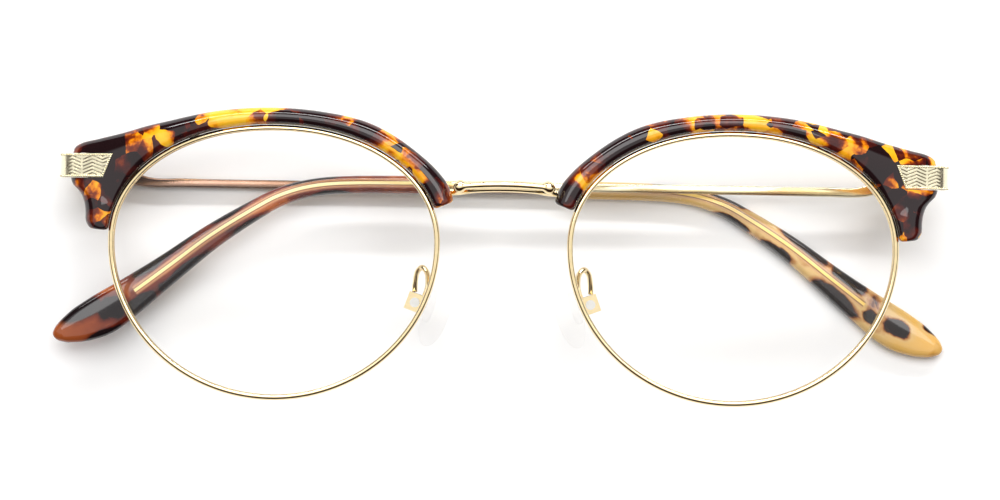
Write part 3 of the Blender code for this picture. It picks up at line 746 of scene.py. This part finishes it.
def tip_shape(markings_and_reflections):
    """Tip sleeve, with each point's place along and across it and its share in a dark spot, tortoise
    marking and painted dark reflection alike.
    """
    stations = tip_stations()
    rings = []
    above = []
    reach = []
    marking_and_reflection = []
    for i, (point, height, up) in enumerate(stations):
        share = i / (len(stations) - 1)
        inner = TIP_INNER + (TIP_END_INNER - TIP_INNER) * share ** TIP_END_POWER
        middle = point + Vector((0, 0, -(inner + TIP_OUTER) / 2))
        half_depth = (TIP_OUTER - inner) / 2 * min(1.0, TIP_FLAT_SHARE + height / TIP_FULL_HEIGHT)
        ring = []
        for j in range(TIP_SIDES):
            turn = 2 * math.pi * (j + 0.5) / TIP_SIDES
            c = math.copysign(abs(math.cos(turn)) ** (2 / TIP_ROUNDNESS), math.cos(turn))
            s = math.copysign(abs(math.sin(turn)) ** (2 / TIP_ROUNDNESS), math.sin(turn))
            ring.append(middle + up * c * height / 2 + Vector((0, 0, half_depth * s)))
            above.append(c * height / 2)
            reach.append(-point.x)
            marking_and_reflection.append(marking_and_reflection_strength(reach[-1], above[-1], markings_and_reflections))
        rings.append(ring)
    return loft(rings), {"above": above, "reach": reach, "marking_and_reflection": marking_and_reflection}


def pad_shape():
    """Nose pad, wider at its lower end, with a domed face."""
    along = PAD_LENGTH_AXIS.normalized()
    face = (PAD_FACE_AXIS - along * PAD_FACE_AXIS.dot(along)).normalized()
    across = face.cross(along)
    start = Vector(PAD_SCREW_AT)
    rings = []
    for distance, share in PAD_LEVELS:
        middle = start + face * (PAD_BACK_REACH + distance)
        ring = []
        for i in range(PAD_SIDES):
            turn = 2 * math.pi * i / PAD_SIDES
            width = PAD_HALF_WIDTH * (1 + PAD_WIDER_BELOW * math.cos(turn)) * math.sin(turn)
            reach = along * PAD_HALF_LENGTH * math.cos(turn) + across * width
            ring.append(middle + reach * share)
        rings.append(ring)
    return loft(rings)


# ---------- materials ----------

def new_material(name):
    material = bpy.data.materials.new(name)
    material.use_nodes = True
    return material, material.node_tree.nodes, material.node_tree.links


def math_node(nodes, links, operation, first, second):
    """Output of a Math node whose inputs are sockets or plain numbers."""
    node = nodes.new("ShaderNodeMath")
    node.operation = operation
    for socket, value in zip(node.inputs, (first, second)):
        if isinstance(value, (int, float)):
            socket.default_value = value
        else:
            links.new(value, socket)
    return node.outputs["Value"]


def ramp_node(nodes, links, value, stops):
    ramp = nodes.new("ShaderNodeValToRGB")
    while len(ramp.color_ramp.elements) < len(stops):
        ramp.color_ramp.elements.new(0.5)
    for element, (position, colour) in zip(ramp.color_ramp.elements, stops):
        element.position = position
        element.color = (*colour, 1.0)
    links.new(value, ramp.inputs["Fac"])
    return ramp.outputs["Color"]


def mix_node(nodes, links, share, first, second):
    """Mixes two colours, each a socket or three numbers."""
    node = nodes.new("ShaderNodeMix")
    node.data_type = "RGBA"
    links.new(share, node.inputs["Factor"])
    for socket, value in ((node.inputs[MIX_FIRST], first), (node.inputs[MIX_SECOND], second)):
        if isinstance(value, tuple):
            socket.default_value = (*value, 1.0)
        else:
            links.new(value, socket)
    return node.outputs[MIX_RESULT]


def noise_node(nodes, links, vector, scale, detail, distortion=0.0):
    noise = nodes.new("ShaderNodeTexNoise")
    noise.inputs["Scale"].default_value = scale
    noise.inputs["Detail"].default_value = detail
    noise.inputs["Distortion"].default_value = distortion
    links.new(vector, noise.inputs["Vector"])
    return noise.outputs["Fac"]


def place_node(nodes, links, seed):
    """Place on the piece, moved by the seed so that each piece has its own pattern."""
    shift = nodes.new("ShaderNodeVectorMath")
    shift.operation = "ADD"
    shift.inputs[1].default_value = seed
    links.new(nodes.new("ShaderNodeTexCoord").outputs["Object"], shift.inputs[0])
    return shift.outputs["Vector"]


def value_node(nodes, name):
    """Number stored on the mesh."""
    attribute = nodes.new("ShaderNodeAttribute")
    attribute.attribute_name = name
    return attribute.outputs["Fac"]


def gold_material(name, colour, roughness, groove_shade_colour=None):
    """Polished plating with faint wipe marks, and painted shade darkening the engraved grooves."""
    material, nodes, links = new_material(name)
    shader = nodes["Principled BSDF"]
    shader.inputs["Metallic"].default_value = 1.0
    place = place_node(nodes, links, (0.0, 0.0, 0.0))
    grain = noise_node(nodes, links, place, GRAIN_SCALE, GRAIN_DETAIL)
    darker = tuple(part * GRAIN_DARKER for part in colour)
    tone = ramp_node(nodes, links, grain, tuple(zip(GRAIN_SPAN, (colour, darker))))
    # Painted shade: the deeper the groove, the nearer its colour comes to the groove shade.
    if groove_shade_colour:
        tone = mix_node(nodes, links, value_node(nodes, "groove"), tone, groove_shade_colour)
    links.new(tone, shader.inputs["Base Color"])
    rough = math_node(nodes, links, "MULTIPLY", grain, roughness)
    links.new(math_node(nodes, links, "ADD", rough, roughness / 2), shader.inputs["Roughness"])
    return material


def metal_with_painted_reflections(name, seed, stops):
    """Satin plating with painted reflections, whose tone drifts in long streaks down the shaft."""
    material, nodes, links = new_material(name)
    shader = nodes["Principled BSDF"]
    shader.inputs["Metallic"].default_value = 1.0
    shader.inputs["Roughness"].default_value = STREAK_ROUGHNESS
    stretch = nodes.new("ShaderNodeVectorMath")
    stretch.operation = "MULTIPLY"
    stretch.inputs[1].default_value = REFLECTION_STREAK_STRETCH
    links.new(place_node(nodes, links, seed), stretch.inputs[0])
    streaks = noise_node(nodes, links, stretch.outputs["Vector"], REFLECTION_STREAK_SCALE, PATTERN_DETAIL)
    links.new(ramp_node(nodes, links, streaks, stops), shader.inputs["Base Color"])
    return material


def amber_pattern(nodes, links, vector, scale, chip_share, warp):
    """Soft clouds broken into chips with crisp edges; the amber is where it is high."""
    bend = nodes.new("ShaderNodeTexNoise")
    bend.inputs["Scale"].default_value = scale * BEND_FINER
    bend.inputs["Detail"].default_value = PATTERN_DETAIL
    links.new(vector, bend.inputs["Vector"])
    push = nodes.new("ShaderNodeVectorMath")
    push.operation = "MULTIPLY_ADD"
    push.inputs[1].default_value = (warp, warp, warp)
    links.new(bend.outputs["Color"], push.inputs[0])
    links.new(vector, push.inputs[2])
    bent = push.outputs["Vector"]
    clouds = noise_node(nodes, links, bent, scale, PATTERN_DETAIL, CLOUD_TWIST)
    cells = nodes.new("ShaderNodeTexVoronoi")
    cells.inputs["Scale"].default_value = scale * CHIP_FINER
    links.new(bent, cells.inputs["Vector"])
    chip = nodes.new("ShaderNodeSeparateColor")
    links.new(cells.outputs["Color"], chip.inputs["Color"])
    chips = math_node(nodes, links, "MULTIPLY", chip.outputs["Red"], chip_share)
    specks = noise_node(nodes, links, vector, scale * FINE_FINER, FINE_DETAIL)
    fine = math_node(nodes, links, "MULTIPLY", specks, FINE_SHARE)
    return math_node(nodes, links, "ADD", math_node(nodes, links, "ADD", clouds, chips), fine)


def polish(shader, roughness=ACETATE_ROUGHNESS):
    shader.inputs["Roughness"].default_value = roughness
    shader.inputs["IOR"].default_value = ACETATE_IOR


def brow_material(name, seed):
    """Dark acetate with bright amber patches."""
    material, nodes, links = new_material(name)
    shader = nodes["Principled BSDF"]
    polish(shader)
    vector = place_node(nodes, links, seed)
    pattern = amber_pattern(nodes, links, vector, *BROW_PATTERN)
    links.new(ramp_node(nodes, links, pattern, BROW_STOPS), shader.inputs["Base Color"])
    return material


def band_node(nodes, links, distance, before_end, profile):
    """Strength of a band along the core wire: profile gives it over millimetres from the wire."""
    strength = ramp_node(nodes, links, distance, [(place, (s, s, s)) for place, s in profile])
    return math_node(nodes, links, "MULTIPLY", strength, before_end)


def tip_material(name, seed, stops, band_colours, glow_colour):
    """Acetate with dark tortoise markings and painted dark reflections, and a painted glow at its
    end; the core wire shows through as a bright line in a pale band.
    """
    material, nodes, links = new_material(name)
    shader = nodes["Principled BSDF"]
    polish(shader, TIP_ROUGHNESS)
    vector = place_node(nodes, links, seed)
    # Painted dark reflections darken the pattern together with the tortoise markings.
    darker = math_node(nodes, links, "MULTIPLY", value_node(nodes, "marking_and_reflection"), MARKING_AND_REFLECTION_DARKNESS)
    pattern = amber_pattern(nodes, links, vector, *TIP_PATTERN)
    tone = ramp_node(nodes, links, math_node(nodes, links, "SUBTRACT", pattern, darker), stops)
    # Painted glow: the end of the tip is painted lighter, as if lit through the thin acetate, except
    # inside dark spots.
    past_start = math_node(nodes, links, "SUBTRACT", value_node(nodes, "reach"), GLOW_START)
    glow_share = math_node(nodes, links, "DIVIDE", past_start, GLOW_LENGTH)
    glow = ramp_node(nodes, links, glow_share, GLOW_PROFILE)
    hidden = math_node(nodes, links, "MULTIPLY", value_node(nodes, "marking_and_reflection"), -MARKING_AND_REFLECTION_OVER_GLOW)
    open_share = math_node(nodes, links, "MAXIMUM", math_node(nodes, links, "ADD", hidden, 1.0), 0.0)
    glow = math_node(nodes, links, "MULTIPLY", glow, open_share)
    tone = mix_node(nodes, links, glow, tone, glow_colour)
    offset = math_node(nodes, links, "SUBTRACT", value_node(nodes, "above"), CORE_SHOWS_AT)
    distance = math_node(nodes, links, "ABSOLUTE", offset, 0.0)
    before_end = math_node(nodes, links, "LESS_THAN", value_node(nodes, "reach"), CORE_END)
    for colour, profile in zip(band_colours, BAND_PROFILES):
        strength = band_node(nodes, links, distance, before_end, profile)
        tone = mix_node(nodes, links, strength, tone, colour)
    links.new(tone, shader.inputs["Base Color"])
    return material


def clear_material(name, tint, roughness, alpha):
    material, nodes, _ = new_material(name)
    shader = nodes["Principled BSDF"]
    shader.inputs["Base Color"].default_value = (*tint, 1.0)
    shader.inputs["Roughness"].default_value = roughness
    shader.inputs["Alpha"].default_value = alpha
    return material


def plain_material(name, colour):
    material, nodes, _ = new_material(name)
    shader = nodes["Principled BSDF"]
    shader.inputs["Base Color"].default_value = (*colour, 1.0)
    shader.inputs["Roughness"].default_value = PLAIN_ROUGHNESS
    shader.inputs["Specular IOR Level"].default_value = 0.0
    return material


BROW_STOPS = (
    (0.0, (0.008, 0.005, 0.006)), (0.66, (0.014, 0.005, 0.006)), (0.75, (0.07, 0.008, 0.006)),
    (0.80, (0.19, 0.028, 0.005)), (0.825, (0.58, 0.14, 0.005)), (0.87, (0.90, 0.38, 0.010)),
    (0.98, (0.95, 0.52, 0.03)),
)
BROWN_STOPS = (
    (0.0, (0.006, 0.004, 0.005)), (0.40, (0.012, 0.006, 0.007)), (0.44, (0.06, 0.009, 0.006)),
    (0.50, (0.12, 0.016, 0.008)), (0.60, (0.17, 0.028, 0.012)), (0.72, (0.42, 0.11, 0.025)),
)
HONEY_STOPS = (
    (0.0, (0.008, 0.006, 0.006)), (0.40, (0.018, 0.009, 0.008)), (0.43, (0.12, 0.03, 0.012)),
    (0.47, (0.46, 0.20, 0.06)), (0.54, (0.68, 0.46, 0.19)), (0.76, (0.72, 0.44, 0.12)),
)
# Painted reflections on the right shaft: dark and brown-orange tones of reflected tortoise in the
# plating.
BROWN_REFLECTION_SHAFT_STOPS = (
    (0.30, (0.10, 0.055, 0.03)), (0.46, (0.26, 0.15, 0.10)), (0.58, (0.34, 0.21, 0.15)),
    (0.72, (0.62, 0.36, 0.12)),
)
# Painted reflections on the left shaft: olive and dark tones of reflected tortoise beside bright
# gold.
OLIVE_REFLECTION_SHAFT_STOPS = (
    (0.30, (0.36, 0.20, 0.07)), (0.42, (0.50, 0.38, 0.18)), (0.52, (0.86, 0.78, 0.54)),
    (0.72, (0.80, 0.70, 0.44)),
)


def make_materials():
    return {
        "gold": gold_material("pale_gold", *PALE_GOLD),
        "trim": gold_material("engraved_gold", *TRIM_GOLD, GROOVE_SHADE_BROWN),
        "beads": gold_material("beaded_gold", *BEAD_GOLD),
        "steel": gold_material("screw_steel", *SCREW_STEEL),
        # Both shafts are one plating; their olive and brown tones are painted reflections.
        "shaft_left": metal_with_painted_reflections("olive_painted_reflection_shaft", SEEDS["shaft_left"], OLIVE_REFLECTION_SHAFT_STOPS),
        "shaft_right": metal_with_painted_reflections("brown_painted_reflection_shaft", SEEDS["shaft_right"], BROWN_REFLECTION_SHAFT_STOPS),
        "brow_left": brow_material("tortoise_brow_left", SEEDS["brow_left"]),
        "brow_right": brow_material("tortoise_brow_right", SEEDS["brow_right"]),
        "tip_left": tip_material(
            "tortoise_tip_left", SEEDS["tip_left"], BROWN_STOPS, BROWN_BAND, BROWN_GLOW),
        "tip_right": tip_material(
            "tortoise_tip_right", SEEDS["tip_right"], HONEY_STOPS, HONEY_BAND, HONEY_GLOW),
        "lens": clear_material("clear_lens", *CLEAR_LENS),
        "silicone": clear_material("clear_silicone", *CLEAR_SILICONE),
    }


# ---------- pieces ----------

def declare(obj, body, slot, *nodes):
    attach(obj, body)
    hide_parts(*nodes)


def cut(obj, shape, matrix, side):
    """Cuts a shape out of the mesh for good."""
    cutter = add_mesh(f"{obj.name}_cutter", shape, matrix, side, obj.data.materials[0])
    modifier = obj.modifiers.new("slot", "BOOLEAN")
    modifier.solver = "EXACT"
    modifier.object = cutter
    graph = bpy.context.evaluated_depsgraph_get()
    done = bpy.data.meshes.new_from_object(obj.evaluated_get(graph))
    obj.modifiers.clear()
    obj.data = done
    obj.data.set_sharp_from_angle(angle=math.radians(SHARP_ANGLE))
    bpy.data.objects.remove(cutter)


def build_front(material, rest):
    bridge = add_mesh("bridge_bar", bridge_shape(), rest, 1, material["gold"])
    declare(bridge, "front", "gold", "bridge")
    brace = add_mesh("bridge_back_brace", rod(BRACE_PATH, BRACE_RADIUS), rest, 1, material["gold"])
    declare(brace, "front", "gold", "bridge_brace")
    for name, side in (("left", 1), ("right", -1)):
        eyewire = add_mesh(
            f"{name}_rim_wire", eyewire_shape(), rest, side, material["gold"], RIM_SHARP_ANGLE)
        declare(eyewire, "front", "gold", f"{name}_eyewire")
        lens = add_mesh(f"{name}_clear_lens", lens_shape(), rest, side, material["lens"])
        declare(lens, "front", "lens", f"{name}_lens")
        brow = add_mesh(f"{name}_acetate_brow", brow_shape(), rest, side, material[f"brow_{name}"])
        cut(brow, slot_shape(), rest, side)
        declare(brow, "front", "tortoise", f"{name}_brow")
        shape, values = trim_shape()
        trim = add_mesh(
            f"{name}_engraved_trim", shape, rest, side, material["trim"], TRIM_SHARP_ANGLE, values)
        declare(trim, "front", "gold", f"{name}_endpiece_trim")
        beads = add_mesh(
            f"{name}_trim_beads", beads_shape(), rest, side, material["beads"], BEAD_SHARP_ANGLE)
        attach(beads, "front")
        bent_arm = rod(PAD_ARM_PATH, PAD_ARM_RADIUS)
        arm = add_mesh(f"{name}_bent_pad_arm", bent_arm, rest, side, material["gold"])
        declare(arm, "front", "gold", f"{name}_pad_arm")
        pad = add_mesh(f"{name}_silicone_pad", pad_shape(), rest, side, material["silicone"])
        declare(pad, f"{name}_pad", "silicone", f"{name}_nose_pad")


def build_temples(material):
    for name, side in (("left", 1), ("right", -1)):
        matrix = hinge_matrix(name)
        metal = merge([shaft_shape(), core_shape()])
        shaft = add_mesh(f"{name}_metal_shaft", metal, matrix, side, material[f"shaft_{name}"])
        declare(shaft, f"{name}_temple", "gold", f"{name}_temple_shaft")
        shape, values = tip_shape(TIP_MARKINGS_AND_REFLECTIONS[name])
        acetate = material[f"tip_{name}"]
        tip = add_mesh(f"{name}_acetate_tip", shape, matrix, side, acetate, TIP_SHARP_ANGLE, values)
        declare(tip, f"{name}_temple", "tortoise", f"{name}_temple_tip")


def finish_cad_nodes(material):
    """Carried over metal pieces get their plating and softened edges."""
    for name, node in frame["nodes"].items():
        if "screw" in name:
            chosen = material["steel"]
        elif name.endswith("pad_mount"):
            chosen = material["silicone"]
        else:
            chosen = material["gold"]
        node.data.materials.clear()
        node.data.materials.append(chosen)
        if name.endswith(("endpiece", "hinge_leaf", "rim_lock", "brow_tab")):
            soften = node.modifiers.new("soften", "BEVEL")
            soften.width = SOFT_EDGE * MM
            soften.segments = 2
            soften.limit_method = "ANGLE"


# ---------- stage ----------

def add_table():
    size = TABLE_HALF_SIZE
    mesh = bpy.data.meshes.new("table")
    corners = [(-size, -size, 0), (size, -size, 0), (size, size, 0), (-size, size, 0)]
    mesh.from_pydata(corners, [], [(0, 1, 2, 3)])
    mesh.materials.append(plain_material("white_table", TABLE_WHITE))
    table = bpy.data.objects.new("table", mesh)
    bpy.context.scene.collection.objects.link(table)


def add_area(name, at, size, power):
    data = bpy.data.lights.new(name, "AREA")
    data.shape = "RECTANGLE"
    data.size, data.size_y = size
    data.energy = power
    lamp = bpy.data.objects.new(name, data)
    lamp.location = at
    lamp.rotation_euler = (-Vector(at)).to_track_quat("-Z", "Y").to_euler()
    bpy.context.scene.collection.objects.link(lamp)


def add_world():
    world = bpy.data.worlds.new("studio")
    world.use_nodes = True
    nodes, links = world.node_tree.nodes, world.node_tree.links
    split = nodes.new("ShaderNodeSeparateXYZ")
    links.new(nodes.new("ShaderNodeTexCoord").outputs["Generated"], split.inputs["Vector"])
    brows = math_node(nodes, links, "MULTIPLY", split.outputs["Y"], DARK_TOWARDS_BROWS)
    chin = math_node(nodes, links, "MULTIPLY", split.outputs["Y"], -DARK_TOWARDS_CHIN)
    dark_top = math_node(nodes, links, "MAXIMUM", brows, chin)
    above_dark = math_node(nodes, links, "SUBTRACT", split.outputs["Z"], dark_top)
    tone = ramp_node(nodes, links, above_dark, STUDIO_TONES)
    seen_directly = nodes.new("ShaderNodeLightPath").outputs["Is Camera Ray"]
    tone = mix_node(nodes, links, seen_directly, tone, BACKDROP)
    links.new(tone, nodes["Background"].inputs["Color"])
    bpy.context.scene.world = world
    bpy.context.scene.view_settings.view_transform = "Standard"


def add_light():
    for name, at, size, power in LIGHTS:
        add_area(name, at, size, power)
    add_world()


def add_camera(rest):
    data = bpy.data.cameras.new("camera")
    data.lens = CAMERA_FOCAL
    data.sensor_width = SENSOR_WIDTH
    data.clip_start = CAMERA_CLIP_START
    camera = bpy.data.objects.new("camera", data)
    camera.location = rest @ Vector(CAMERA_AT)
    camera.rotation_euler = (front_turn() @ Matrix.Rotation(CAMERA_ROLL, 4, "Z")).to_euler()
    bpy.context.scene.collection.objects.link(camera)
    bpy.context.scene.camera = camera


material = make_materials()
rest = rest_matrix()
finish_cad_nodes(material)
build_front(material, rest)
build_temples(material)
add_table()
add_light()
add_camera(rest)
